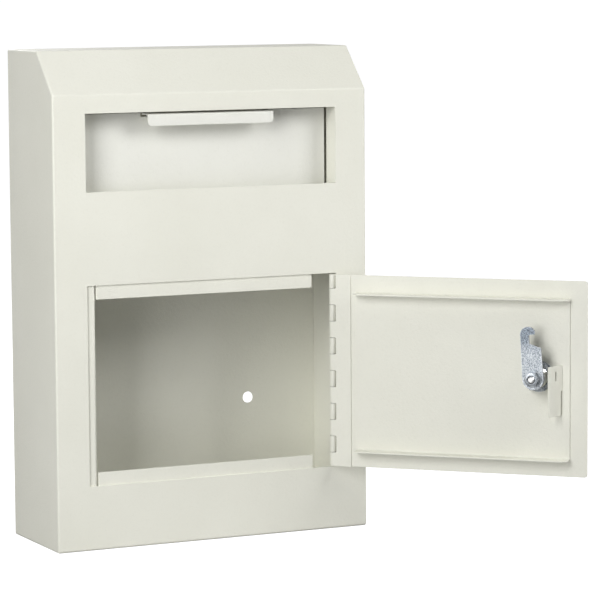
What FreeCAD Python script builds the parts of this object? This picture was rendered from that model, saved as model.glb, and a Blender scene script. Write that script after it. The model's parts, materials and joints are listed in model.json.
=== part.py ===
"""Wall-mounted parcel drop box with a tilting deposit flap above a keyed collection door.

Millimetres. X runs to the right, Y into the wall and Z up. The origin is on the rear face, at the
centre of the four wall bolts, so the box lies from Y = -DEPTH to Y = 0. The door is drawn closed
and then swung open about its hinge pin, and the lock is turned a little on its own axis.
"""
import FreeCAD
import Part
import math
import os

from FreeCAD import Vector

# Enclosure
WIDTH = 280.0
HEIGHT = 406.0
DEPTH = 100.0
SHEET = 1.5
OUTER_BEND = 2.2
SIDE_EDGE_ROUND = 1.65
HOOD_DROP = 35.0
HOOD_RUN = 34.0
BOLT_SPACING_X = 150.0
BOLT_SPACING_Z = 202.0
BOLT_HOLE = 9.5

# Openings in the front face, as heights above the base
OPENING_WIDTH = 224.0
SLOT_BOTTOM = 292.5
SLOT_TOP = 356.0
DOORWAY_BOTTOM = 53.0
DOORWAY_TOP = 217.0

# Strips behind the doorway, which the door closes against
STRIP_LAP = 10.0
STRIP_SHOWN_TOP = 11.5
STRIP_SHOWN_BOTTOM = 11.0
STRIP_SHOWN_LATCH = 7.4
STRIP_CORNER_GAP = 0.8
STRIP_END_TO_HINGE = 22.0
LATCH_LEG_DEPTH = 15.8
LATCH_BEND = 0.5

# Piano hinge
HINGE_LEAF = 1.0
BARREL_RADIUS = 3.0
PIN_RADIUS = 1.5
PIN_CLEARANCE = 0.08
BARREL_TO_JAMB = 0.5
KNUCKLE_COUNT = 12
KNUCKLE_LENGTH = 13.87
KNUCKLE_GAP = 0.3
NOTCH_DEPTH = 3.6
NOTCH_CORNER = 1.0
FRAME_LEAF_WIDTH = 19.5
DOOR_LEAF_WIDTH = 16.6

# Door
DOOR_OPEN_ANGLE = 135.5
DOOR_GAP = 1.0
DOOR_HINGE_EDGE = 3.6
DOOR_CORNER = 2.5
STIFFENER = 1.2
STIFFENER_START = 21.0
STIFFENER_END = 205.0
STIFFENER_INSET_TOP = 14.8
STIFFENER_INSET_BOTTOM = 13.5
STIFFENER_FLANGE = 12.0
STIFFENER_BEND = 1.0
FLANGE_END_CHAMFER = 4.5

# Cam lock
LOCK_FROM_HINGE = 178.7
LOCK_HEIGHT = 137.0
LOCK_REST_TURN = -3.0
LOCK_BODY_RADIUS = 9.3
LOCK_FLAT = 8.0
LOCK_HEAD_RADIUS = 11.0
LOCK_HEAD = 2.0
LOCK_HEAD_ROUND = 0.8
LOCK_HOLE_CLEARANCE = 0.1
PLUG_RADIUS = 6.4
PLUG_CLEARANCE = 0.1
KEYWAY_WIDTH = 2.0
KEYWAY_LENGTH = 8.0
KEYWAY_DEPTH = 9.0
LOCK_NUT_FLATS = 23.0
LOCK_NUT = 4.5
LOCK_WASHER_RADIUS = 13.0
LOCK_WASHER = 1.0
CAM_UNDERSIDE = 19.2
LOCK_BODY_TO_CAM = 0.3
CAM = 2.2
CAM_HALF_WIDTH = 9.0
CAM_END_RADIUS = 8.6
CAM_SHOULDER = (-7.8, 25.0, 1.5)
CAM_THROAT_X = 1.8
CAM_THROAT_LOW = 28.8
CAM_THROAT_HIGH = 36.2
CAM_THROAT_ROUNDS = (0.6, 1.4)
CAM_NOSE_X = -3.3
CAM_NOSE_ROUND = 0.7
CAM_TIP = 42.6
CAM_TIP_ROUNDS = (5.2, 6.2)
CAM_SQUARE = 7.0
CAM_WASHER_RADIUS = 7.0
CAM_WASHER = 1.0
CAM_NUT_FLATS = 11.0
CAM_NUT = 5.5
STUD_RADIUS = 3.0
STUD_PROUD = 1.6

# Bracket beside the lock, which backs the cam when it is turned
BRACKET = 1.5
BRACKET_FOOT_FROM_HINGE = 197.2
BRACKET_LEAN = 7.0
BRACKET_TOP = 18.4
BRACKET_LENGTH = 41.5
BRACKET_BELOW_LOCK = 32.0
BRACKET_FREE_LENGTH = 20.5
BRACKET_FREE_GAP = 1.8
BRACKET_SLOT = 1.6
BRACKET_SLOT_LENGTH = 8.0
BRACKET_SLOT_ABOVE_STEP = 8.5

# Deposit flap
FLAP_SHEET = 1.2
FLAP_SETBACK = 18.5
FLAP_SIDE_GAP = 1.5
FLAP_TOP_GAP = 1.5
FLAP_TAIL_BELOW_PIVOT = 7.5
PIVOT_BELOW_SLOT = 9.5
ROD_RADIUS = 2.0
ROD_CLEARANCE = 0.1
ROD_BEHIND_PANEL = 0.3
ROD_HEAD_RADIUS = 3.5
ROD_HEAD = 1.4
ROD_HEAD_GAP = 0.3
LIP_WIDTH = 112.0
LIP_HEIGHT = 10.0
LIP_SETBACK = 2.2
LIP_CORNER = 3.5
RELIEF_WIDTH = 5.7
RELIEF_DEPTH = 3.2
RELIEF_REACH = 2.6
WING_RADIUS = 64.0
WING_ANGLE = 42.0
WING_LOBE = 6.0
WING_LOBE_ANGLE = 102.0
STOP_EAR_OUT = 2.8
STOP_EAR_LENGTH = 6.0
STOP_EAR_ANGLE = 2.4
STOP_EAR_INSET = 0.5
BAFFLE_ANGLE = 39.0
BAFFLE_OUTER_RADIUS = 63.0
BAFFLE_INNER_RADIUS = 36.0
BAFFLE_HEM = 6.0
BAFFLE_HEM_ANGLE = 104.0
BAFFLE_BEND = 1.0

# Plates beside the slot that carry the flap, and the angle that it closes against
CHEEK_DEPTH = 16.0
CHEEK_LAP = 12.0
CHEEK_OVER = 5.0
CHEEK_TAB_REAR = 6.5
CHEEK_TAB_BELOW_SILL = 1.0
REST_LEG_GAP = 0.2
REST_LEG_OVER_TAIL = 2.0
REST_ANGLE_LAP = 16.0
REST_ANGLE_END_GAP = 5.0

# General
SMALL_BEND = 0.8
OVERCUT = 1.0
TOLERANCE = 1e-3

# Places worked out from the dimensions above
BASE_Z = -HEIGHT / 2
TOP_Z = HEIGHT / 2
FRONT_Y = -DEPTH
FRONT_INNER_Y = FRONT_Y + SHEET
JAMB_X = OPENING_WIDTH / 2
HINGE_X = JAMB_X - BARREL_TO_JAMB - BARREL_RADIUS
HINGE_Y = FRONT_INNER_Y + HINGE_LEAF - BARREL_RADIUS
LEAF_INNER_Y = FRONT_INNER_Y + HINGE_LEAF
DOOR_BOTTOM_Z = BASE_Z + DOORWAY_BOTTOM + DOOR_GAP
DOOR_TOP_Z = BASE_Z + DOORWAY_TOP - DOOR_GAP
DOOR_FREE_X = -JAMB_X + DOOR_GAP
STIFFENER_INNER_Y = FRONT_INNER_Y + STIFFENER
LOCK_X = HINGE_X - LOCK_FROM_HINGE
LOCK_Z = BASE_Z + LOCK_HEIGHT
CAM_Y = FRONT_Y + CAM_UNDERSIDE
FLAP_Y = FRONT_Y + FLAP_SETBACK
FLAP_HALF = JAMB_X - FLAP_SIDE_GAP
FLAP_TOP_Z = BASE_Z + SLOT_TOP - FLAP_TOP_GAP
PIVOT_Y = FLAP_Y + FLAP_SHEET + ROD_BEHIND_PANEL + ROD_RADIUS
PIVOT_Z = BASE_Z + SLOT_BOTTOM - PIVOT_BELOW_SLOT


def box(x0, x1, y0, y1, z0, z1):
    """Box between two corners, given axis by axis."""
    return Part.makeBox(x1 - x0, y1 - y0, z1 - z0, Vector(x0, y0, z0))


def rod(radius, start, end):
    """Round bar from one point to another."""
    return Part.makeCylinder(radius, (end - start).Length, start, end - start)


def hexagon(flats, start, end):
    """Hexagonal bar of this size across its flats, from one point to another."""
    radius = flats / 2 / math.cos(math.pi / 6)
    axis = (end - start).normalize()
    side = Vector(0, 0, 1).cross(axis).normalize()
    up = axis.cross(side)
    points = []
    for step in range(6):
        turn = math.pi / 3 * step
        points.append(start + side * (radius * math.cos(turn)) + up * (radius * math.sin(turn)))
    return prism(points, [0] * 6, end - start)


def rounded_wire(points, radii):
    """Closed outline through the points, each corner rounded by its own radius."""
    starts = []
    ends = []
    middles = []
    for index, corner in enumerate(points):
        before = (points[index - 1] - corner).normalize()
        after = (points[(index + 1) % len(points)] - corner).normalize()
        radius = radii[index]
        if radius == 0:
            starts.append(corner)
            ends.append(corner)
            middles.append(None)
            continue
        half = before.getAngle(after) / 2
        reach = radius / math.tan(half)
        bisector = (before + after).normalize()
        starts.append(corner + before * reach)
        ends.append(corner + after * reach)
        middles.append(corner + bisector * (radius / math.sin(half) - radius))
    edges = []
    for index in range(len(points)):
        following = (index + 1) % len(points)
        if middles[index] is not None:
            edges.append(Part.Arc(starts[index], middles[index], ends[index]).toShape())
        if (starts[following] - ends[index]).Length > TOLERANCE:
            edges.append(Part.makeLine(ends[index], starts[following]))
    return Part.Wire(edges)


def prism(points, radii, along):
    """Solid with a rounded outline, extruded."""
    return Part.Face(rounded_wire(points, radii)).extrude(along)


def folded(path, thickness, bend, along):
    """Bent sheet whose one face follows the path. The sheet lies on the left of the path.

    Left is seen with the extrusion pointing at the viewer, and bend is the radius inside each bend.
    """
    up = Vector(along).normalize()
    near = []
    far = []
    near_radii = []
    far_radii = []
    for index, point in enumerate(path):
        before = (point - path[index - 1]).normalize() if index > 0 else None
        after = (path[index + 1] - point).normalize() if index < len(path) - 1 else None
        if before is None or after is None:
            direction = after if before is None else before
            shift = up.cross(direction) * thickness
            near_radii.append(0)
            far_radii.append(0)
        else:
            left_before = up.cross(before)
            left_after = up.cross(after)
            sum_left = left_before + left_after
            shift = sum_left * (2 * thickness / sum_left.dot(sum_left))
            turns_left = before.cross(after).dot(up) > 0
            near_radii.append(bend + thickness if turns_left else bend)
            far_radii.append(bend if turns_left else bend + thickness)
        near.append(point)
        far.append(point + shift)
    points = near + far[::-1]
    radii = near_radii + far_radii[::-1]
    return prism(points, radii, along)


def corner_block(centre, size_x, size_z, radius, y0, y1):
    """Upright block across the sheet at y0 to y1, with all four corners of its face rounded."""
    x0 = centre[0] - size_x / 2
    x1 = centre[0] + size_x / 2
    z0 = centre[1] - size_z / 2
    z1 = centre[1] + size_z / 2
    corners = [Vector(x0, y0, z0), Vector(x1, y0, z0), Vector(x1, y0, z1), Vector(x0, y0, z1)]
    return prism(corners, [radius] * 4, Vector(0, y1 - y0, 0))


def swing_door(shape):
    """Door piece moved from closed to its open position."""
    turned = shape.copy()
    turned.rotate(Vector(HINGE_X, HINGE_Y, 0), Vector(0, 0, 1), DOOR_OPEN_ANGLE)
    return turned


def turn_lock(shape):
    """Lock piece turned about the lock's axis, then moved with the door."""
    turned = shape.copy()
    turned.rotate(Vector(LOCK_X, 0, LOCK_Z), Vector(0, -1, 0), LOCK_REST_TURN)
    return swing_door(turned)


def shell_profile(inset):
    """Side outline of the enclosure, moved inwards by inset on every side but the open rear."""
    slope = math.atan2(HOOD_DROP, HOOD_RUN)
    front = FRONT_Y + inset
    top = TOP_Z - inset
    bend_z = TOP_Z - HOOD_DROP - inset * math.tan((math.pi / 2 - slope) / 2)
    bend_y = FRONT_Y + HOOD_RUN + inset * math.tan(slope / 2)
    return [(front, BASE_Z + inset), (front, bend_z), (bend_y, top), (0, top), (0, BASE_Z + inset)]


def shell_block(inset, bend):
    """Solid block of the enclosure's form, and the edges of its end faces that are seen from outside."""
    half = WIDTH / 2 - inset
    points = [Vector(-half, y, z) for y, z in shell_profile(inset)]
    block = prism(points, [bend, bend, bend, 0, 0], Vector(2 * half, 0, 0))
    edges = []
    for edge in block.Edges:
        bounds = edge.BoundBox
        in_end_face = bounds.XLength < TOLERANCE
        off_rear = bounds.YMin < -TOLERANCE
        off_base = bounds.ZMax > BASE_Z + inset + TOLERANCE
        if in_end_face and off_rear and off_base:
            edges.append(edge)
    return block, edges


def shell():
    """Folded and welded enclosure with its two front openings, open at the rear."""
    outer, outer_edges = shell_block(0, OUTER_BEND)
    outer = outer.makeFillet(SIDE_EDGE_ROUND, outer_edges)
    inner, _ = shell_block(SHEET, OUTER_BEND - SHEET)
    body = outer.cut(inner)
    for bottom, top in ((SLOT_BOTTOM, SLOT_TOP), (DOORWAY_BOTTOM, DOORWAY_TOP)):
        y0 = FRONT_Y - OVERCUT
        y1 = FRONT_INNER_Y + OVERCUT
        body = body.cut(box(-JAMB_X, JAMB_X, y0, y1, BASE_Z + bottom, BASE_Z + top))
    return body


def back_panel():
    """Flat rear plate with four wall bolt holes."""
    half = WIDTH / 2 - SHEET
    plate = box(-half, half, -SHEET, 0, BASE_Z + SHEET, TOP_Z - SHEET)
    for side in (-1, 1):
        for level in (-1, 1):
            centre = Vector(side * BOLT_SPACING_X / 2, -SHEET - OVERCUT, level * BOLT_SPACING_Z / 2)
            plate = plate.cut(rod(BOLT_HOLE / 2, centre, centre + Vector(0, SHEET + 2 * OVERCUT, 0)))
    return plate


def stop_strip(z0, z1):
    """Flat strip behind the top or bottom edge of the doorway."""
    start = -JAMB_X + STRIP_SHOWN_LATCH + STRIP_CORNER_GAP
    return box(start, JAMB_X - STRIP_END_TO_HINGE, FRONT_INNER_Y, FRONT_INNER_Y + SHEET, z0, z1)


def stop_strip_top():
    edge = BASE_Z + DOORWAY_TOP
    return stop_strip(edge - STRIP_SHOWN_TOP, edge + STRIP_LAP)


def stop_strip_bottom():
    edge = BASE_Z + DOORWAY_BOTTOM
    return stop_strip(edge - STRIP_LAP, edge + STRIP_SHOWN_BOTTOM)


def latch_angle():
    """Angle behind the latch side of the doorway. The cam bears on the rear edge of its long leg."""
    inner_x = -JAMB_X + STRIP_SHOWN_LATCH
    z0 = BASE_Z + DOORWAY_BOTTOM - STRIP_LAP
    z1 = BASE_Z + DOORWAY_TOP + STRIP_LAP
    path = [
        Vector(-JAMB_X - STRIP_LAP, FRONT_INNER_Y, z0),
        Vector(inner_x, FRONT_INNER_Y, z0),
        Vector(inner_x, FRONT_INNER_Y + LATCH_LEG_DEPTH + SHEET, z0),
    ]
    return folded(path, SHEET, LATCH_BEND, Vector(0, 0, z1 - z0))


def hinge_levels():
    """Bottom and top of every knuckle, from the lowest up. The end ones are cut short with the leaves."""
    start = (DOOR_BOTTOM_Z + DOOR_TOP_Z - KNUCKLE_COUNT * KNUCKLE_LENGTH) / 2
    levels = []
    for count in range(KNUCKLE_COUNT):
        low = max(DOOR_BOTTOM_Z, start + count * KNUCKLE_LENGTH)
        high = min(DOOR_TOP_Z, start + (count + 1) * KNUCKLE_LENGTH)
        levels.append((low, high))
    return levels


def hinge_leaf(side, width, own_knuckles):
    """Hinge leaf with its knuckles. Side is -1 for the door's leaf and 1 for the frame's."""
    far = HINGE_X + side * width
    x0 = min(HINGE_X, far)
    x1 = max(HINGE_X, far)
    leaf = box(x0, x1, FRONT_INNER_Y, LEAF_INNER_Y, DOOR_BOTTOM_Z, DOOR_TOP_Z)
    for index, (z0, z1) in enumerate(hinge_levels()):
        low = Vector(HINGE_X, HINGE_Y, z0 + KNUCKLE_GAP / 2)
        high = Vector(HINGE_X, HINGE_Y, z1 - KNUCKLE_GAP / 2)
        if index % 2 == own_knuckles:
            leaf = leaf.fuse(rod(BARREL_RADIUS, low, high))
        else:
            height = z1 - z0 + KNUCKLE_GAP
            middle = (HINGE_X, (z0 + z1) / 2)
            y0 = FRONT_INNER_Y - OVERCUT
            y1 = LEAF_INNER_Y + OVERCUT
            leaf = leaf.cut(corner_block(middle, 2 * NOTCH_DEPTH, height, NOTCH_CORNER, y0, y1))
    low = Vector(HINGE_X, HINGE_Y, DOOR_BOTTOM_Z - OVERCUT)
    high = Vector(HINGE_X, HINGE_Y, DOOR_TOP_Z + OVERCUT)
    return leaf.cut(rod(PIN_RADIUS + PIN_CLEARANCE, low, high)).removeSplitter()


def hinge_leaf_frame():
    return hinge_leaf(1, FRAME_LEAF_WIDTH, 1)


def hinge_leaf_door():
    return swing_door(hinge_leaf(-1, DOOR_LEAF_WIDTH, 0))


def hinge_pin():
    """Plain pin through all the knuckles."""
    low = Vector(HINGE_X, HINGE_Y, DOOR_BOTTOM_Z + KNUCKLE_GAP)
    high = Vector(HINGE_X, HINGE_Y, DOOR_TOP_Z - KNUCKLE_GAP)
    return rod(PIN_RADIUS, low, high)


def lock_hole(clearance, y0, y1):
    """Double-D column of the lock body, used for the body itself and for the holes it passes."""
    column = rod(LOCK_BODY_RADIUS + clearance, Vector(LOCK_X, y0, LOCK_Z), Vector(LOCK_X, y1, LOCK_Z))
    flat = LOCK_FLAT + clearance
    reach = LOCK_BODY_RADIUS + OVERCUT
    slab = box(LOCK_X - reach, LOCK_X + reach, y0, y1, LOCK_Z - flat, LOCK_Z + flat)
    return column.common(slab)


def door_plate():
    """Outer door plate, flush with the front face when closed."""
    x0 = DOOR_FREE_X
    x1 = HINGE_X - DOOR_HINGE_EDGE
    corners = [
        Vector(x0, FRONT_Y, DOOR_BOTTOM_Z),
        Vector(x1, FRONT_Y, DOOR_BOTTOM_Z),
        Vector(x1, FRONT_Y, DOOR_TOP_Z),
        Vector(x0, FRONT_Y, DOOR_TOP_Z),
    ]
    plate = prism(corners, [DOOR_CORNER, 0, 0, DOOR_CORNER], Vector(0, SHEET, 0))
    return swing_door(plate.cut(lock_hole(LOCK_HOLE_CLEARANCE, FRONT_Y - OVERCUT, FRONT_INNER_Y + OVERCUT)))


def door_stiffener():
    """Inner sheet of the door, folded inwards along its top and bottom."""
    x0 = HINGE_X - STIFFENER_END
    x1 = HINGE_X - STIFFENER_START
    z0 = DOOR_BOTTOM_Z + STIFFENER_INSET_BOTTOM
    z1 = DOOR_TOP_Z - STIFFENER_INSET_TOP
    rear = FRONT_INNER_Y + STIFFENER_FLANGE
    path = [
        Vector(x0, rear, z1),
        Vector(x0, FRONT_INNER_Y, z1),
        Vector(x0, FRONT_INNER_Y, z0),
        Vector(x0, rear, z0),
    ]
    pan = folded(path, STIFFENER, STIFFENER_BEND, Vector(x1 - x0, 0, 0))
    chamfer = FLANGE_END_CHAMFER
    low = z0 - OVERCUT
    for end, inward in ((x0, 1), (x1, -1)):
        points = [
            Vector(end - inward * OVERCUT, rear + OVERCUT, low),
            Vector(end + inward * chamfer, rear + OVERCUT, low),
            Vector(end + inward * chamfer, rear, low),
            Vector(end, rear - chamfer, low),
            Vector(end - inward * OVERCUT, rear - chamfer, low),
        ]
        pan = pan.cut(prism(points, [0] * 5, Vector(0, 0, z1 - z0 + 2 * OVERCUT)))
    return swing_door(pan.cut(lock_hole(LOCK_HOLE_CLEARANCE, FRONT_Y, STIFFENER_INNER_Y + OVERCUT)))


def cam_bracket():
    """Leaning plate on the stiffener beside the lock. Its upper half is welded on, its lower half is free."""
    foot_x = HINGE_X - BRACKET_FOOT_FROM_HINGE
    top_x = foot_x + BRACKET_LEAN
    low = LOCK_Z - BRACKET_BELOW_LOCK
    base = STIFFENER_INNER_Y
    top = FRONT_Y + BRACKET_TOP
    slope = Vector(foot_x - top_x, base - top, 0).normalize()
    buried_end = Vector(foot_x, base, low) + slope * BRACKET
    path = [buried_end, Vector(top_x, top, low)]
    plate = folded(path, BRACKET, 0, Vector(0, 0, BRACKET_LENGTH))
    x0 = foot_x - 2 * BRACKET
    x1 = top_x + 2 * BRACKET
    free_top = low + BRACKET_FREE_LENGTH
    plate = plate.cut(box(x0, x1, base - 2 * BRACKET, base, low - OVERCUT, low + BRACKET_LENGTH + OVERCUT))
    plate = plate.cut(box(x0, x1, base - OVERCUT, base + BRACKET_FREE_GAP, low - OVERCUT, free_top))
    slot_y = (base + top) / 2
    slot_low = free_top + BRACKET_SLOT_ABOVE_STEP
    slot_high = slot_low + BRACKET_SLOT_LENGTH
    slot = box(x0, x1, slot_y - BRACKET_SLOT / 2, slot_y + BRACKET_SLOT / 2, slot_low, slot_high)
    return swing_door(plate.cut(slot))


def lock_housing():
    """Lock body with its round head outside the door and a bore for the plug."""
    head_face = FRONT_Y - LOCK_HEAD
    rear = CAM_Y - LOCK_BODY_TO_CAM
    body = lock_hole(0, FRONT_Y, rear)
    head = rod(LOCK_HEAD_RADIUS, Vector(LOCK_X, head_face, LOCK_Z), Vector(LOCK_X, FRONT_Y, LOCK_Z))
    rim = [edge for edge in head.Edges if edge.BoundBox.YMax < head_face + TOLERANCE]
    head = head.makeFillet(LOCK_HEAD_ROUND, rim)
    bore_start = Vector(LOCK_X, head_face - OVERCUT, LOCK_Z)
    bore_end = Vector(LOCK_X, rear + OVERCUT, LOCK_Z)
    bore = rod(PLUG_RADIUS + PLUG_CLEARANCE, bore_start, bore_end)
    return swing_door(body.fuse(head).cut(bore).removeSplitter())


def ring(radius, bore, y0, y1):
    """Washer about the lock's axis."""
    start = Vector(LOCK_X, y0, LOCK_Z)
    end = Vector(LOCK_X, y1, LOCK_Z)
    return rod(radius, start, end).cut(rod(bore, start, end))


def lock_washer():
    y0 = STIFFENER_INNER_Y
    return swing_door(ring(LOCK_WASHER_RADIUS, LOCK_BODY_RADIUS + LOCK_HOLE_CLEARANCE, y0, y0 + LOCK_WASHER))


def lock_nut():
    """Large hexagon nut that clamps the lock body to the door."""
    y0 = STIFFENER_INNER_Y + LOCK_WASHER
    start = Vector(LOCK_X, y0, LOCK_Z)
    end = Vector(LOCK_X, y0 + LOCK_NUT, LOCK_Z)
    nut = hexagon(LOCK_NUT_FLATS, start, end).cut(rod(LOCK_BODY_RADIUS + LOCK_HOLE_CLEARANCE, start, end))
    return swing_door(nut)


def square_bar(side, y0, y1):
    """Square bar along the lock's axis."""
    half = side / 2
    return box(LOCK_X - half, LOCK_X + half, y0, y1, LOCK_Z - half, LOCK_Z + half)


def lock_plug():
    """Turning plug with a keyway in front, a square for the cam and a round stud for the nut."""
    front = FRONT_Y - LOCK_HEAD
    shoulder = CAM_Y
    barrel = rod(PLUG_RADIUS, Vector(LOCK_X, front, LOCK_Z), Vector(LOCK_X, shoulder, LOCK_Z))
    square = square_bar(CAM_SQUARE, shoulder, shoulder + CAM)
    stud_end = shoulder + CAM + CAM_WASHER + CAM_NUT + STUD_PROUD
    stud = rod(STUD_RADIUS, Vector(LOCK_X, shoulder, LOCK_Z), Vector(LOCK_X, stud_end, LOCK_Z))
    half_width = KEYWAY_WIDTH / 2
    half_length = KEYWAY_LENGTH / 2
    keyway = box(LOCK_X - half_width, LOCK_X + half_width, front - OVERCUT, front + KEYWAY_DEPTH,
                 LOCK_Z - half_length, LOCK_Z + half_length)
    return turn_lock(barrel.fuse(square).fuse(stud).cut(keyway).removeSplitter())


def lock_cam():
    """Hooked cam plate, standing up from the lock axis. Its hook faces the door's free edge."""
    half = CAM_HALF_WIDTH
    outline = [
        (half, -half, CAM_END_RADIUS),
        (-half, -half, CAM_END_RADIUS),
        CAM_SHOULDER,
        (CAM_THROAT_X, CAM_THROAT_LOW, CAM_THROAT_ROUNDS[0]),
        (CAM_THROAT_X, CAM_THROAT_HIGH, CAM_THROAT_ROUNDS[1]),
        (CAM_NOSE_X, CAM_THROAT_HIGH, CAM_NOSE_ROUND),
        (CAM_NOSE_X, CAM_TIP, CAM_TIP_ROUNDS[0]),
        (half, CAM_TIP, CAM_TIP_ROUNDS[1]),
    ]
    points = [Vector(LOCK_X + x, CAM_Y, LOCK_Z + z) for x, z, _ in outline]
    plate = prism(points, [radius for _, _, radius in outline], Vector(0, CAM, 0))
    return turn_lock(plate.cut(square_bar(CAM_SQUARE, CAM_Y - OVERCUT, CAM_Y + CAM + OVERCUT)))


def cam_washer():
    y0 = CAM_Y + CAM
    return turn_lock(ring(CAM_WASHER_RADIUS, STUD_RADIUS, y0, y0 + CAM_WASHER))


def cam_nut():
    """Hexagon nut on the stud, which holds the cam."""
    y0 = CAM_Y + CAM + CAM_WASHER
    start = Vector(LOCK_X, y0, LOCK_Z)
    end = Vector(LOCK_X, y0 + CAM_NUT, LOCK_Z)
    return turn_lock(hexagon(CAM_NUT_FLATS, start, end).cut(rod(STUD_RADIUS, start, end)))


def flap_panel():
    """Flap sheet with its folded pull lip and a bend relief notched in at each end of the fold."""
    tail_z = PIVOT_Z - FLAP_TAIL_BELOW_PIVOT
    lip_y = FRONT_Y + LIP_SETBACK
    half = LIP_WIDTH / 2
    root_z = FLAP_TOP_Z - RELIEF_DEPTH
    panel = box(-FLAP_HALF, FLAP_HALF, FLAP_Y, FLAP_Y + FLAP_SHEET, tail_z, FLAP_TOP_Z)
    rear = FLAP_Y + FLAP_SHEET + OVERCUT
    panel = panel.cut(box(-half, half, FLAP_Y - OVERCUT, rear, root_z, FLAP_TOP_Z + OVERCUT))
    path = [
        Vector(-half, FLAP_Y + FLAP_SHEET, root_z),
        Vector(-half, FLAP_Y + FLAP_SHEET, FLAP_TOP_Z),
        Vector(-half, lip_y, FLAP_TOP_Z),
        Vector(-half, lip_y, FLAP_TOP_Z - LIP_HEIGHT),
    ]
    lip = folded(path, FLAP_SHEET, SMALL_BEND, Vector(LIP_WIDTH, 0, 0))
    low = FLAP_TOP_Z - LIP_HEIGHT
    for side in (-1, 1):
        end = side * half
        inner = side * (half - LIP_CORNER)
        y0 = lip_y - OVERCUT
        y1 = lip_y + FLAP_SHEET + OVERCUT
        square = box(min(end, inner), max(end, inner), y0, y1, low, low + LIP_CORNER)
        centre = Vector(inner, y0, low + LIP_CORNER)
        round_end = rod(LIP_CORNER, centre, Vector(inner, y1, low + LIP_CORNER))
        lip = lip.cut(square.cut(round_end))
        root_end = side * (half - RELIEF_WIDTH)
        past = side * (half + OVERCUT)
        x0 = min(root_end, past)
        x1 = max(root_end, past)
        relief = box(x0, x1, FLAP_Y - RELIEF_REACH, rear, root_z - OVERCUT, FLAP_TOP_Z + OVERCUT)
        lip = lip.cut(relief)
    return panel.fuse(lip).removeSplitter()


def wing_point(radius, angle):
    """Point behind the flap at this distance from the pivot and angle from upright."""
    turn = math.radians(angle)
    return Vector(0, PIVOT_Y + radius * math.sin(turn), PIVOT_Z + radius * math.cos(turn))


def flap_wing(side):
    """Side wing of the flap: a sector about the pivot, with a bent ear that limits the opening."""
    outer = side * FLAP_HALF
    inner = side * (FLAP_HALF - FLAP_SHEET)
    front_y = FLAP_Y + FLAP_SHEET
    shift = Vector(inner, 0, 0)
    rear_top = wing_point(WING_RADIUS, WING_ANGLE)
    front_top = Vector(0, front_y, PIVOT_Z + math.sqrt(WING_RADIUS ** 2 - (PIVOT_Y - front_y) ** 2))
    middle = wing_point(WING_RADIUS, WING_ANGLE / 2)
    rear_low = wing_point(WING_LOBE, WING_LOBE_ANGLE)
    front_low = Vector(0, front_y, PIVOT_Z - WING_LOBE)
    arc = Part.Arc(front_top + shift, middle + shift, rear_top + shift).toShape()
    lines = [
        Part.makeLine(rear_top + shift, rear_low + shift),
        Part.makeLine(rear_low + shift, front_low + shift),
        Part.makeLine(front_low + shift, front_top + shift),
    ]
    wing = Part.Face(Part.Wire([arc] + lines)).extrude(Vector(outer - inner, 0, 0))
    ear_out = Vector(side * (FLAP_SHEET + STOP_EAR_OUT), 0, 0)
    ear_angle = WING_ANGLE - STOP_EAR_ANGLE
    ear_low = WING_RADIUS - STOP_EAR_LENGTH
    ear_high = WING_RADIUS - STOP_EAR_INSET
    ear_points = [
        wing_point(ear_low, ear_angle) + shift,
        wing_point(ear_high, ear_angle) + shift,
        wing_point(ear_high, WING_ANGLE) + shift,
        wing_point(ear_low, WING_ANGLE) + shift,
    ]
    wing = wing.fuse(prism(ear_points, [0] * 4, ear_out))
    over = side * OVERCUT
    hole = rod(ROD_RADIUS, Vector(inner - over, PIVOT_Y, PIVOT_Z), Vector(outer + over, PIVOT_Y, PIVOT_Z))
    return wing.cut(hole).removeSplitter()


def flap_wing_left():
    return flap_wing(-1)


def flap_wing_right():
    return flap_wing(1)


def flap_baffle():
    """Plate between the wings, behind the flap. It blocks the throat and shuts the flap by its weight."""
    half = FLAP_HALF - FLAP_SHEET
    shift = Vector(-half, 0, 0)
    outer = wing_point(BAFFLE_OUTER_RADIUS, BAFFLE_ANGLE) + shift
    inner = wing_point(BAFFLE_INNER_RADIUS, BAFFLE_ANGLE) + shift
    hem = inner + wing_point(BAFFLE_HEM, BAFFLE_HEM_ANGLE) - wing_point(0, 0)
    return folded([outer, inner, hem], FLAP_SHEET, BAFFLE_BEND, Vector(2 * half, 0, 0))


def flap_rod():
    """Pivot rod through the wings and the cheeks, headed at both ends."""
    reach = JAMB_X + SHEET + ROD_HEAD_GAP
    end = reach + ROD_HEAD
    bar = rod(ROD_RADIUS, Vector(-end, PIVOT_Y, PIVOT_Z), Vector(end, PIVOT_Y, PIVOT_Z))
    for side in (-1, 1):
        head_start = Vector(side * reach, PIVOT_Y, PIVOT_Z)
        head_end = Vector(side * end, PIVOT_Y, PIVOT_Z)
        bar = bar.fuse(rod(ROD_HEAD_RADIUS, head_start, head_end))
    return bar.removeSplitter()


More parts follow.
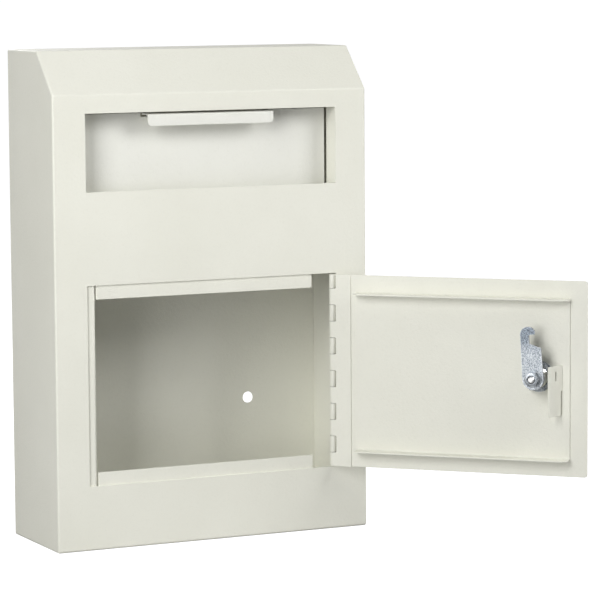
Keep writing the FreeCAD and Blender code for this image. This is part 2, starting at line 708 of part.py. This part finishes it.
def slot_cheek(side):
    """Angle beside the slot. Its leg lines the recess, and a tab below the sill carries the rod."""
    low = PIVOT_Z - CHEEK_OVER
    high = BASE_Z + SLOT_TOP + CHEEK_OVER
    face = side * JAMB_X
    back = side * (JAMB_X + SHEET)
    lap = side * (JAMB_X + CHEEK_LAP)
    rear = FRONT_INNER_Y + CHEEK_DEPTH
    cheek = box(min(face, back), max(face, back), FRONT_INNER_Y, rear, low, high)
    cheek = cheek.fuse(box(min(face, lap), max(face, lap), FRONT_INNER_Y, FRONT_INNER_Y + SHEET, low, high))
    tab_top = BASE_Z + SLOT_BOTTOM - CHEEK_TAB_BELOW_SILL
    tab = box(min(face, back), max(face, back), rear - OVERCUT, PIVOT_Y + CHEEK_TAB_REAR, low, tab_top)
    over = side * OVERCUT
    hole_start = Vector(face - over, PIVOT_Y, PIVOT_Z)
    hole_end = Vector(back + over, PIVOT_Y, PIVOT_Z)
    hole = rod(ROD_RADIUS + ROD_CLEARANCE, hole_start, hole_end)
    return cheek.fuse(tab).cut(hole).removeSplitter()


def slot_cheek_left():
    return slot_cheek(-1)


def slot_cheek_right():
    return slot_cheek(1)


def flap_rest_angle():
    """Angle under the slot. The flap's tail meets its rear edge when the flap is shut."""
    half = JAMB_X - REST_ANGLE_END_GAP
    leg_top = PIVOT_Z - FLAP_TAIL_BELOW_PIVOT + REST_LEG_OVER_TAIL
    path = [
        Vector(-half, FLAP_Y - REST_LEG_GAP, leg_top),
        Vector(-half, FRONT_INNER_Y, leg_top),
        Vector(-half, FRONT_INNER_Y, leg_top - REST_ANGLE_LAP),
    ]
    return folded(path, SHEET, SMALL_BEND, Vector(2 * half, 0, 0))


NODES = [
    shell, back_panel, stop_strip_top, stop_strip_bottom, latch_angle, slot_cheek_left, slot_cheek_right,
    flap_rest_angle, hinge_leaf_frame, hinge_pin,
    flap_panel, flap_wing_left, flap_wing_right, flap_baffle, flap_rod,
    door_plate, door_stiffener, cam_bracket, hinge_leaf_door, lock_housing, lock_washer, lock_nut,
    lock_plug, lock_cam, cam_washer, cam_nut,
]

os.makedirs("parts", exist_ok=True)
for make in NODES:
    shape = make()
    name = make.__name__
    print(name, "solids", len(shape.Solids), "valid", shape.isValid(), "volume", round(shape.Volume, 1))
    shape.Solids[0].exportStep("parts/" + name + ".step")
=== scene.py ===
"""Looks, light and camera for the wall-mounted parcel drop box. Metres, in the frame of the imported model."""

import json
import math

import bmesh
import bpy
from mathutils import Matrix, Vector


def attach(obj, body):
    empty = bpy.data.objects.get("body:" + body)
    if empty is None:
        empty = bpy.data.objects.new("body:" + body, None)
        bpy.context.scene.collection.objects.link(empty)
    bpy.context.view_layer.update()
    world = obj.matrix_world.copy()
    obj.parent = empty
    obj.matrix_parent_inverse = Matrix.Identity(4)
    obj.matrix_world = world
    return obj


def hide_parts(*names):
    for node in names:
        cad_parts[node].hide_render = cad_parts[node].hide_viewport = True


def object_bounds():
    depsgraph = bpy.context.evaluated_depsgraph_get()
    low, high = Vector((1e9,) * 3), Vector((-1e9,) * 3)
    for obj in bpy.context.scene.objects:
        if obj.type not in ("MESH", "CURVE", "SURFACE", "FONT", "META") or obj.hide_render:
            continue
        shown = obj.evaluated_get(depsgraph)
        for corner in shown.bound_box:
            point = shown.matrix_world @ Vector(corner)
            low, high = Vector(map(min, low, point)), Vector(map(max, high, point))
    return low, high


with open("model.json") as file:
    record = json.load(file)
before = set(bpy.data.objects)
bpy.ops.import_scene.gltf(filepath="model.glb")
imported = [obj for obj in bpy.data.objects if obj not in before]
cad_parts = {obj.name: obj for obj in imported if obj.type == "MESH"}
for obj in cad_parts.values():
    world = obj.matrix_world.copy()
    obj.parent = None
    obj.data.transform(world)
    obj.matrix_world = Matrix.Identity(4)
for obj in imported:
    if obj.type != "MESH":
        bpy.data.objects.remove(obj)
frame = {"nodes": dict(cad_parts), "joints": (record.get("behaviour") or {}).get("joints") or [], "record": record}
cad_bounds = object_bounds()

MM = 0.001
UP = Vector((0, 0, 1))

# Camera
CAMERA_AT = Vector((-1.0273, -2.4040, 0.2707))
CAMERA_LOOKS = Vector((0.430098, 0.896283, -0.108129))
CAMERA_UP = Vector((0.052601, 0.094690, 0.994116))
CAMERA_LENS = 184.90
CAMERA_SENSOR = 36.0
CAMERA_NEAR = 0.05
CAMERA_FAR = 1000.0

# Light. The surround is dimmer as a light than in mirrored reflections
WORLD_STRENGTH = 0.06
WORLD_MIRRORED = 0.6
LIGHT_DISTANCE = 1.7
LIGHT_SIZE = 0.7
LIGHT_TARGET = Vector((0.05, -0.05, 0))
# Azimuth (0 in front, 90 to the right), elevation and power of each soft light
LIGHTS = {
    "left_low": (-52, 5, 8.2),
    "left_high": (-52, 28, 13.2),
    "top": (0, 88, 2.5),
    "right_high": (43, 28, 12.4),
    "right_low": (75, 5, 5.2),
    "behind": (180, 30, 8.0),
}
FLOOR_GLOW = 1.0
FLOOR_SIZE = 600.0
FLOOR_GAP = 0.2 * MM

# Edge rounding of the sheet-metal nodes and of the plated parts
SHEET_ROUND = 0.35 * MM
LEAF_ROUND = 0.2 * MM
PLATED_ROUND = 0.22 * MM
ROUND_SEGMENTS = 2
SHARP_ANGLE = math.radians(35)
FLAT_ANGLE = math.radians(0.6)
WELD_GAP = 0.001 * MM


# ---------------------------------------------------------------- materials

def rgb(red, green, blue):
    return (red, green, blue, 1.0)


# Dark and light tones that the paint and the plating drift between
IVORY = (rgb(0.795, 0.792, 0.705), rgb(0.825, 0.822, 0.738))
# Painted light: a whiter copy of the ivory for the flap, standing in for the brighter light on it
FLAP_IVORY_WITH_PAINTED_LIGHT = (rgb(0.805, 0.805, 0.748), rgb(0.835, 0.835, 0.780))
# Painted shade in the hollows of the orange peel
PEEL_HOLLOW_SHADE_COLOUR = rgb(0.62, 0.615, 0.54)
# Lighter paint along edges: partly thinner paint, partly a painted highlight
THIN_PAINT_AND_HIGHLIGHT_COLOUR = rgb(0.86, 0.86, 0.80)
# Painted shade: the colour that narrow gaps between painted parts are darkened towards
PAINTED_GAP_SHADE_COLOUR = rgb(0.17, 0.16, 0.11)
ZINC_DARK = (rgb(0.15, 0.17, 0.19), rgb(0.22, 0.24, 0.27))
ZINC_LIGHT = (rgb(0.42, 0.45, 0.48), rgb(0.55, 0.58, 0.60))
HOOK_ZINC = (rgb(0.05, 0.06, 0.08), rgb(0.27, 0.31, 0.35))
# Painted highlight along the zinc's edges
ZINC_EDGE_HIGHLIGHT = rgb(0.90, 0.92, 0.94)
NICKEL = (rgb(0.62, 0.63, 0.64), rgb(0.74, 0.74, 0.74))
# Painted highlight along the nickel's edges
NICKEL_EDGE_HIGHLIGHT = rgb(0.88, 0.88, 0.87)
# Painted shade: the colour that narrow gaps between metal parts are darkened towards
METAL_PAINTED_GAP_SHADE_COLOUR = rgb(0.04, 0.04, 0.05)
FLOOR_GREY = (rgb(0.49, 0.49, 0.49), rgb(0.51, 0.51, 0.51))

# Noise scales in features per metre
CLOUD_SCALE = 9.0
PEEL_SCALE = 400.0
GRIT_SCALE = 1500.0
FLECK_SCALE = 1000.0

# Heights of the relief, and how far the painted shade in the peel's pits and in the narrow gaps darkens the paint
PEEL_HEIGHT = 0.26 * MM
PLATING_HEIGHT = 0.03 * MM
PIT_SHADE = 0.10
PAINT_GAP_SHADE = 0.9

# Width of the lighter edges (thinner paint and painted highlight on the paint, painted highlight on the plating),
# reach of the painted shade in gaps, and the heights between which the cam's plating darkens
PAINT_EDGE = 0.7 * MM
ZINC_EDGE_WIDTH = 0.45 * MM
NICKEL_EDGE_WIDTH = 0.4 * MM
PAINT_GAP_REACH = 1.6 * MM
METAL_GAP_REACH = 1.5 * MM
HOOK_LOW = -46.0 * MM
HOOK_HIGH = -34.0 * MM


class Tree:
    """Builds a material's node tree in few words."""

    def __init__(self, name):
        self.material = bpy.data.materials.new(name)
        self.material.use_nodes = True
        self.nodes = self.material.node_tree.nodes
        self.links = self.material.node_tree.links
        self.shader = self.nodes["Principled BSDF"]
        self.where = self.nodes.new("ShaderNodeTexCoord").outputs["Object"]

    def add(self, kind, **settings):
        node = self.nodes.new(kind)
        for key, value in settings.items():
            setattr(node, key, value)
        return node

    def feed(self, socket, value):
        if isinstance(value, bpy.types.NodeSocket):
            self.links.new(value, socket)
        else:
            socket.default_value = value

    def noise(self, scale, detail=2.0, roughness=0.5, stretch=None):
        """Noise texture in object space. Scale is in features per metre."""
        where = self.where
        if stretch is not None:
            mapping = self.add("ShaderNodeMapping")
            mapping.inputs["Scale"].default_value = stretch
            self.links.new(where, mapping.inputs["Vector"])
            where = mapping.outputs["Vector"]
        node = self.add("ShaderNodeTexNoise")
        self.links.new(where, node.inputs["Vector"])
        node.inputs["Scale"].default_value = scale
        node.inputs["Detail"].default_value = detail
        node.inputs["Roughness"].default_value = roughness
        return node.outputs["Fac"]

    def remap(self, value, low, high, new_low=0.0, new_high=1.0):
        node = self.add("ShaderNodeMapRange")
        self.links.new(value, node.inputs["Value"])
        limits = {"From Min": low, "From Max": high, "To Min": new_low, "To Max": new_high}
        for name, number in limits.items():
            node.inputs[name].default_value = number
        return node.outputs["Result"]

    def math(self, operation, first, second):
        node = self.add("ShaderNodeMath", operation=operation)
        self.feed(node.inputs[0], first)
        self.feed(node.inputs[1], second)
        return node.outputs["Value"]

    def mix(self, factor, first, second):
        node = self.add("ShaderNodeMix", data_type="RGBA")
        self.feed(node.inputs["Factor"], factor)
        self.feed(node.inputs["A"], first)
        self.feed(node.inputs["B"], second)
        return node.outputs["Result"]

    def bump(self, height, distance, strength=1.0, below=None):
        node = self.add("ShaderNodeBump")
        node.inputs["Strength"].default_value = strength
        node.inputs["Distance"].default_value = distance
        self.links.new(height, node.inputs["Height"])
        if below is not None:
            self.links.new(below, node.inputs["Normal"])
        return node.outputs["Normal"]

    def edges(self, radius):
        """1 on sharp edges and 0 on flat faces."""
        rounded = self.add("ShaderNodeBevel", samples=4)
        rounded.inputs["Radius"].default_value = radius
        geometry = self.add("ShaderNodeNewGeometry")
        dot = self.add("ShaderNodeVectorMath", operation="DOT_PRODUCT")
        self.links.new(rounded.outputs["Normal"], dot.inputs[0])
        self.links.new(geometry.outputs["Normal"], dot.inputs[1])
        return self.remap(dot.outputs["Value"], 1.0, 0.75)

    def gap_shade_mask(self, reach, hemmed_in, clear):
        """Mask for painted shade: 1 deep inside narrow gaps, where shade falls, and 0 where the surface is clear
        over this reach.
        """
        node = self.add("ShaderNodeAmbientOcclusion", samples=8)
        node.inputs["Distance"].default_value = reach
        flat = self.add("ShaderNodeNewGeometry").outputs["True Normal"]
        self.links.new(flat, node.inputs["Normal"])
        return self.remap(node.outputs["AO"], hemmed_in, clear, 1.0, 0.0)


def powder_coat(name, tones, gap_shade=0.0):
    """Powder coat: fine orange peel and grit with painted shade in its hollows, lighter edges from thinner paint
    and a painted highlight, and painted shade in narrow gaps.
    """
    tree = Tree(name)
    cloud = tree.remap(tree.noise(CLOUD_SCALE, detail=3.0), 0.35, 0.65)
    ivory = tree.mix(cloud, *tones)
    peel = tree.noise(PEEL_SCALE, detail=3.0, roughness=0.65)
    grit = tree.noise(GRIT_SCALE)
    # Painted shade in the hollows of the orange peel's bump
    peel_hollow_shade = tree.remap(peel, 0.30, 0.46, 1.0, 0.0)
    ivory = tree.mix(tree.math("MULTIPLY", peel_hollow_shade, PIT_SHADE), ivory, PEEL_HOLLOW_SHADE_COLOUR)
    # Lighter edges, partly thinner paint and partly a painted highlight
    patches = tree.remap(tree.noise(160.0), 0.3, 0.7, 0.05, 0.4)
    worn_and_highlit = tree.math("MULTIPLY", tree.edges(PAINT_EDGE), patches)
    colour = tree.mix(worn_and_highlit, ivory, THIN_PAINT_AND_HIGHLIGHT_COLOUR)
    # Painted shade in narrow gaps, where little light reaches
    if gap_shade > 0:
        painted_gap_shade = tree.gap_shade_mask(PAINT_GAP_REACH, 0.20, 0.46)
        colour = tree.mix(tree.math("MULTIPLY", painted_gap_shade, gap_shade), colour, PAINTED_GAP_SHADE_COLOUR)
    tree.links.new(colour, tree.shader.inputs["Base Color"])
    rough = tree.remap(tree.noise(60.0, detail=4.0), 0.3, 0.7, 0.40, 0.52)
    tree.links.new(rough, tree.shader.inputs["Roughness"])
    tree.shader.inputs["IOR"].default_value = 1.5
    height = tree.math("ADD", tree.math("MULTIPLY", peel, 0.7), tree.math("MULTIPLY", grit, 0.3))
    tree.links.new(tree.bump(height, PEEL_HEIGHT), tree.shader.inputs["Normal"])
    return tree.material


def zinc_plate():
    """Bright zinc plate, finely mottled and bluish, darker towards the cam's hook, with a painted highlight along
    its edges and painted shade in narrow gaps.
    """
    tree = Tree("zinc_plate_mottled")
    fleck = tree.remap(tree.noise(FLECK_SCALE, detail=4.0, roughness=0.8), 0.43, 0.57)
    cloud = tree.remap(tree.noise(260.0, detail=3.0), 0.35, 0.65)
    dark = tree.mix(cloud, *ZINC_DARK)
    light = tree.mix(cloud, *ZINC_LIGHT)
    colour = tree.mix(fleck, dark, light)
    hook_colour = tree.mix(fleck, *HOOK_ZINC)
    height = tree.add("ShaderNodeSeparateXYZ")
    tree.links.new(tree.where, height.inputs["Vector"])
    hook = tree.remap(height.outputs["Z"], HOOK_LOW, HOOK_HIGH)
    colour = tree.mix(hook, colour, hook_colour)
    # Painted highlight along the edges
    colour = tree.mix(tree.edges(ZINC_EDGE_WIDTH), colour, ZINC_EDGE_HIGHLIGHT)
    # Painted shade in narrow gaps
    colour = tree.mix(tree.gap_shade_mask(METAL_GAP_REACH, 0.20, 0.5), colour, METAL_PAINTED_GAP_SHADE_COLOUR)
    tree.links.new(colour, tree.shader.inputs["Base Color"])
    tree.shader.inputs["Metallic"].default_value = 0.85
    rough = tree.remap(tree.noise(700.0, detail=3.0), 0.3, 0.7, 0.30, 0.50)
    tree.links.new(rough, tree.shader.inputs["Roughness"])
    lines = tree.noise(500.0, detail=3.0, stretch=(3.0, 3.0, 0.15))
    relief = tree.math("ADD", tree.math("MULTIPLY", fleck, 0.5), tree.math("MULTIPLY", lines, 0.5))
    tree.links.new(tree.bump(relief, PLATING_HEIGHT, 0.6), tree.shader.inputs["Normal"])
    return tree.material


def lock_casting():
    """Nickel-plated zinc casting of the lock, slightly pitted, with a painted highlight along its edges and
    painted shade in narrow gaps.
    """
    tree = Tree("lock_body_nickel")
    cloud = tree.remap(tree.noise(200.0, detail=3.0), 0.35, 0.65)
    colour = tree.mix(cloud, *NICKEL)
    # Painted highlight along the edges
    colour = tree.mix(tree.edges(NICKEL_EDGE_WIDTH), colour, NICKEL_EDGE_HIGHLIGHT)
    # Painted shade in narrow gaps
    colour = tree.mix(tree.gap_shade_mask(METAL_GAP_REACH, 0.20, 0.5), colour, METAL_PAINTED_GAP_SHADE_COLOUR)
    tree.links.new(colour, tree.shader.inputs["Base Color"])
    tree.shader.inputs["Metallic"].default_value = 1.0
    rough = tree.remap(tree.noise(600.0, detail=3.0), 0.3, 0.7, 0.16, 0.30)
    tree.links.new(rough, tree.shader.inputs["Roughness"])
    tree.links.new(tree.bump(tree.noise(1400.0), PLATING_HEIGHT, 0.5), tree.shader.inputs["Normal"])
    return tree.material


def floor_paper():
    """Plain pale paper on a lit table, which looks near white without lighting the object from below."""
    tree = Tree("pale_floor_paper")
    cloud = tree.remap(tree.noise(1.5, detail=2.0), 0.3, 0.7)
    tree.links.new(tree.mix(cloud, *FLOOR_GREY), tree.shader.inputs["Base Color"])
    tree.shader.inputs["Roughness"].default_value = 0.9
    tree.shader.inputs["Specular IOR Level"].default_value = 0.1
    tree.shader.inputs["Emission Color"].default_value = rgb(1, 1, 1)
    seen = tree.add("ShaderNodeLightPath").outputs["Is Camera Ray"]
    glow = tree.math("MULTIPLY", seen, FLOOR_GLOW)
    tree.links.new(glow, tree.shader.inputs["Emission Strength"])
    return tree.material


FINISHES = {
    "ivory_powder_coat": powder_coat("ivory_powder_coat_plain", IVORY),
    "zinc_plate": zinc_plate(),
    "lock_body": lock_casting(),
}
# Powder-coated nodes with narrow gaps beside them, whose paint gets painted shade in the gaps
GAP_SHADED_NODES = ("hinge_leaf_frame", "hinge_leaf_door", "door_stiffener", "cam_bracket")
# Nodes whose long thin triangles would show, so their flat faces are divided anew
REDIVIDED_NODES = GAP_SHADED_NODES + ("door_plate", "back_panel")
# Powder coat with painted shade in its narrow gaps
GAP_SHADED_FINISH = powder_coat("ivory_powder_coat_gap_shaded", IVORY, PAINT_GAP_SHADE)
NODE_FINISHES = {node: GAP_SHADED_FINISH for node in GAP_SHADED_NODES}
# Painted light: the flap sheet's paint is a little whiter than the case's, standing in for the brighter light on
# it in the recess
NODE_FINISHES["flap_panel"] = powder_coat("ivory_powder_coat_flap", FLAP_IVORY_WITH_PAINTED_LIGHT)


def finish_nodes():
    """Gives every CAD node its material and soft edges."""
    slots = {part["node"]: part["material_slot"] for part in frame["record"]["subparts"]}
    for name, piece in frame["nodes"].items():
        material = NODE_FINISHES.get(name, FINISHES[slots[name]])
        for holder in piece.material_slots:
            holder.material = material
        weld = piece.modifiers.new("weld", "WELD")
        weld.merge_threshold = WELD_GAP
        if name in REDIVIDED_NODES:
            flat = piece.modifiers.new("whole_faces", "DECIMATE")
            flat.decimate_type = "DISSOLVE"
            flat.angle_limit = FLAT_ANGLE
        bevel = piece.modifiers.new("soft_edges", "BEVEL")
        bevel.limit_method = "ANGLE"
        bevel.angle_limit = SHARP_ANGLE
        bevel.segments = ROUND_SEGMENTS
        bevel.harden_normals = True
        bevel.width = SHEET_ROUND if slots[name] == "ivory_powder_coat" else PLATED_ROUND
        if name.startswith("hinge_leaf"):
            bevel.width = LEAF_ROUND
        if name in REDIVIDED_NODES:
            even = piece.modifiers.new("even_triangles", "TRIANGULATE")
            even.ngon_method = "BEAUTY"


# ---------------------------------------------------------------- lock pieces in mesh code

# Depths are behind the door's outer face, along the lock's axis, in millimetres
ROUND_STEPS = 96
THREAD_ROWS = 6
HEAD_FACE = -2.0
HEAD_RADIUS = 11.0
HEAD_ROUND = 0.8
HEAD_ROUND_STEPS = 4
BODY_RADIUS = 9.3
BODY_FLAT = 8.0
BODY_END = 18.9
BODY_PITCH = 1.0
BODY_THREAD_DEPTH = 0.45
BORE_RADIUS = 6.5
BORE_CHAMFER = 0.3
PLUG_RADIUS = 6.4
PLUG_CHAMFER = 0.4
# Width, depth and length of the keyway
KEYWAY = (2.0, 9.0, 8.0)
CAM_START = 19.2
CAM_END = 21.4
SQUARE_HALF = 3.5
STUD_RADIUS = 3.0
STUD_END = 29.5
STUD_PITCH = 1.0
STUD_THREAD_DEPTH = 0.35
STUD_CHAMFER = 1.2
# Width across the flats, bore radius, and start and end depth of each nut
BIG_NUT = (23.0, BODY_RADIUS + 0.1, 3.7, 8.2)
SMALL_NUT = (11.0, STUD_RADIUS, 22.4, 27.9)
NUT_FACE_SHARE = 0.96
NUT_SINK = 0.5
NUT_CHAMFER_ANGLE = math.radians(30)
LOCK_TURN_AT_REST = math.radians(-3.0)


def lock_place(turned):
    """Matrix from the lock's own axes (X along the door, Y inward, Z up, in millimetres) to the frame."""
    joint = next(j for j in frame["joints"] if j["name"] == "lock_turn")
    outward = Vector(joint["axis"]).normalized()
    along = (-outward).cross(UP)
    place = Matrix.Translation(Vector(joint["pos_m"]))
    place = place @ Matrix((along, -outward, UP)).transposed().to_4x4()
    if turned:
        place = place @ Matrix.Rotation(LOCK_TURN_AT_REST, 4, (0, -1, 0))
    return place @ Matrix.Scale(MM, 4)


def angles():
    """Evenly spaced angles round a ring."""
    return [2 * math.pi * step / ROUND_STEPS for step in range(ROUND_STEPS)]


def ring(radius, depth):
    """Ring of points at one depth. The radius is a number or a function of the angle."""
    points = []
    for angle in angles():
        reach = radius(angle) if callable(radius) else radius
        points.append((reach * math.cos(angle), depth, reach * math.sin(angle)))
    return points


def hexagon_radius(flats):
    """Function that gives a hexagon's reach at an angle, from its width across the flats."""
    sector = math.pi / 3

    def reach(angle):
        return flats / 2 / math.cos(angle % sector - sector / 2)
    return reach


def square_radius(angle):
    """Reach of the plug's square at an angle."""
    return SQUARE_HALF / max(abs(math.cos(angle)), abs(math.sin(angle)))


def flattened(points, flat):
    """The ring's points held between the two flats of a lock body."""
    return [(x, y, max(-flat, min(flat, z))) for x, y, z in points]


def thread_rings(radius, depth, pitch, start, end):
    """Rings of a screw thread, with its crests running round as a helix."""
    rings = []
    count = round((end - start) / pitch * THREAD_ROWS)
    for row in range(count + 1):
        level = start + (end - start) * row / count
        fade = min(1.0, row / THREAD_ROWS, (count - row) / THREAD_ROWS)

        def reach(angle, level=level, fade=fade):
            wave = 0.5 - 0.5 * math.cos(2 * math.pi * level / pitch - angle)
            return radius - depth * (1 - fade) * 0.5 - depth * fade * wave
        rings.append(ring(reach, level))
    return rings


def skin(name, rings, place, material, closed):
    """Piece skinned over rings of points, joined end to end or capped at both ends."""
    mesh = bmesh.new()
    rows = [[mesh.verts.new(place @ Vector(point)) for point in points] for points in rings]
    count = len(rows[0])
    pairs = list(zip(rows, rows[1:]))
    if closed:
        pairs.append((rows[-1], rows[0]))
    for first, second in pairs:
        for step in range(count):
            after = (step + 1) % count
            mesh.faces.new((first[step], first[after], second[after], second[step]))
    if not closed:
        for row in (rows[0], rows[-1]):
            middle = mesh.verts.new(sum((vert.co for vert in row), Vector()) / count)
            for step in range(count):
                mesh.faces.new((row[step], row[(step + 1) % count], middle))
    bmesh.ops.recalc_face_normals(mesh, faces=mesh.faces)
    return shown(name, mesh, material)


def shown(name, mesh, material):
    """Object made from the mesh, smooth but for its sharp edges."""
    for face in mesh.faces:
        face.smooth = True
    for edge in mesh.edges:
        if edge.is_manifold and edge.calc_face_angle() > SHARP_ANGLE:
            edge.smooth = False
    data = bpy.data.meshes.new(name)
    mesh.to_mesh(data)
    mesh.free()
    data.materials.append(material)
    piece = bpy.data.objects.new(name, data)
    bpy.context.scene.collection.objects.link(piece)
    return piece


def stand_for(piece, body, node):
    """Rides the piece on the body, in place of its CAD node."""
    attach(piece, body)
    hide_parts(node)


def hex_nut(name, nut, place):
    """Hexagon nut with chamfered corners and a countersunk bore."""
    flats, bore, start, end = nut
    outline = hexagon_radius(flats)
    face = flats / 2 * NUT_FACE_SHARE

    def chamfer(angle):
        return (outline(angle) - face) * math.tan(NUT_CHAMFER_ANGLE)
    top = [(x, start + chamfer(a), z) for (x, _, z), a in zip(ring(outline, start), angles())]
    low = [(x, end - chamfer(a), z) for (x, _, z), a in zip(ring(outline, end), angles())]
    rings = [
        ring(bore, start + NUT_SINK),
        ring(bore + NUT_SINK, start),
        ring(face, start),
        top,
        low,
        ring(face, end),
        ring(bore + NUT_SINK, end),
        ring(bore, end - NUT_SINK),
    ]
    return skin(name, rings, place, FINISHES["zinc_plate"], closed=True)


def lock_body():
    """Threaded double-D lock body with its round head outside the door."""
    rings = [ring(BORE_RADIUS, HEAD_FACE + BORE_CHAMFER), ring(BORE_RADIUS + BORE_CHAMFER, HEAD_FACE)]
    for step in range(HEAD_ROUND_STEPS + 1):
        turn = math.pi / 2 * step / HEAD_ROUND_STEPS
        radius = HEAD_RADIUS - HEAD_ROUND * (1 - math.sin(turn))
        rings.append(ring(radius, HEAD_FACE + HEAD_ROUND * (1 - math.cos(turn))))
    rings.append(ring(HEAD_RADIUS, 0))
    thread = thread_rings(BODY_RADIUS, BODY_THREAD_DEPTH, BODY_PITCH, 0, BODY_END)
    rings += [flattened(points, BODY_FLAT) for points in thread]
    rings.append(ring(BORE_RADIUS, BODY_END))
    piece = skin("lock_body_threaded", rings, lock_place(False), FINISHES["lock_body"], closed=True)
    stand_for(piece, "door", "lock_housing")


def block(size, centre, place):
    """Mesh object of a box, used only to cut with."""
    mesh = bmesh.new()
    bmesh.ops.create_cube(mesh, size=1.0)
    for vert in mesh.verts:
        vert.co = place @ (Vector(centre) + Vector([c * s for c, s in zip(vert.co, size)]))
    bmesh.ops.recalc_face_normals(mesh, faces=mesh.faces)
    return shown("cutter", mesh, FINISHES["lock_body"])


def cut_away(piece, cutter):
    """Cuts the cutter out of the piece's mesh and removes the cutter."""
    modifier = piece.modifiers.new("cut", "BOOLEAN")
    modifier.operation = "DIFFERENCE"
    modifier.solver = "EXACT"
    modifier.object = cutter
    bpy.context.view_layer.update()
    graph = bpy.context.evaluated_depsgraph_get()
    result = bpy.data.meshes.new_from_object(piece.evaluated_get(graph))
    piece.modifiers.clear()
    piece.data = result
    bpy.data.objects.remove(cutter)


def lock_key_plug():
    """Turning plug: keyway in front, then the square for the cam and the threaded stud."""
    place = lock_place(True)
    rings = [ring(PLUG_RADIUS - PLUG_CHAMFER, HEAD_FACE), ring(PLUG_RADIUS, HEAD_FACE + PLUG_CHAMFER)]
    rings.append(ring(PLUG_RADIUS, CAM_START))
    rings.append(ring(square_radius, CAM_START))
    rings.append(ring(square_radius, CAM_END))
    rings += thread_rings(STUD_RADIUS, STUD_THREAD_DEPTH, STUD_PITCH, CAM_END, STUD_END - STUD_CHAMFER)
    rings.append(ring(STUD_RADIUS - STUD_CHAMFER, STUD_END))
    piece = skin("lock_plug_and_stud", rings, place, FINISHES["lock_body"], closed=False)
    width, depth, length = KEYWAY
    overcut = 1.0
    middle = HEAD_FACE + (depth - overcut) / 2
    cut_away(piece, block((width, depth + overcut, length), (0, middle, 0), place))
    stand_for(piece, "lock_plug_and_cam", "lock_plug")


def lock_nuts():
    """Big nut that holds the lock in the door, and small nut that holds the cam on the stud."""
    big = hex_nut("lock_hex_nut", BIG_NUT, lock_place(False))
    stand_for(big, "door", "lock_nut")
    small = hex_nut("cam_hex_nut", SMALL_NUT, lock_place(True))
    stand_for(small, "lock_plug_and_cam", "cam_nut")


# ---------------------------------------------------------------- studio

def area_light(name, azimuth, elevation, power):
    """Soft square light round the object that isn't itself seen."""
    data = bpy.data.lights.new(name, "AREA")
    data.size = LIGHT_SIZE
    data.energy = power
    lamp = bpy.data.objects.new(name, data)
    bpy.context.scene.collection.objects.link(lamp)
    turn = math.radians(azimuth)
    rise = math.radians(elevation)
    away = Vector((math.sin(turn) * math.cos(rise), -math.cos(turn) * math.cos(rise), math.sin(rise)))
    lamp.location = LIGHT_TARGET + away * LIGHT_DISTANCE
    lamp.rotation_mode = "QUATERNION"
    lamp.rotation_quaternion = (-away).to_track_quat("-Z", "Y")
    lamp.visible_camera = False


def studio():
    """Pale floor, soft lights and a white surround."""
    low = cad_bounds[0].z - FLOOR_GAP
    half = FLOOR_SIZE / 2
    mesh = bpy.data.meshes.new("floor")
    corners = [(-half, -half, low), (half, -half, low), (half, half, low), (-half, half, low)]
    mesh.from_pydata(corners, [], [(0, 1, 2, 3)])
    mesh.materials.append(floor_paper())
    floor = bpy.data.objects.new("floor", mesh)
    bpy.context.scene.collection.objects.link(floor)

    world = bpy.data.worlds.new("white_studio")
    world.use_nodes = True
    tree = world.node_tree
    background = tree.nodes["Background"]
    background.inputs["Color"].default_value = (1, 1, 1, 1)
    path = tree.nodes.new("ShaderNodeLightPath")
    level = tree.nodes.new("ShaderNodeMapRange")
    level.inputs["To Min"].default_value = WORLD_MIRRORED
    level.inputs["To Max"].default_value = WORLD_STRENGTH
    tree.links.new(path.outputs["Is Diffuse Ray"], level.inputs["Value"])
    tree.links.new(level.outputs["Result"], background.inputs["Strength"])
    bpy.context.scene.world = world

    for name, (azimuth, elevation, power) in LIGHTS.items():
        area_light(name, azimuth, elevation, power)


def camera():
    """Camera in front and to the left of the box, rolled a little and with no shift."""
    data = bpy.data.cameras.new("camera")
    data.lens = CAMERA_LENS
    data.sensor_width = CAMERA_SENSOR
    data.clip_start = CAMERA_NEAR
    data.clip_end = CAMERA_FAR
    eye = bpy.data.objects.new("camera", data)
    bpy.context.scene.collection.objects.link(eye)
    eye.location = CAMERA_AT
    eye.rotation_mode = "QUATERNION"
    right = CAMERA_LOOKS.cross(CAMERA_UP).normalized()
    top = right.cross(CAMERA_LOOKS).normalized()
    eye.rotation_quaternion = Matrix((right, top, -CAMERA_LOOKS.normalized())).transposed().to_quaternion()
    bpy.context.scene.camera = eye


finish_nodes()
lock_body()
lock_key_plug()
lock_nuts()
studio()
camera()
bpy.context.scene.view_settings.view_transform = "Standard"
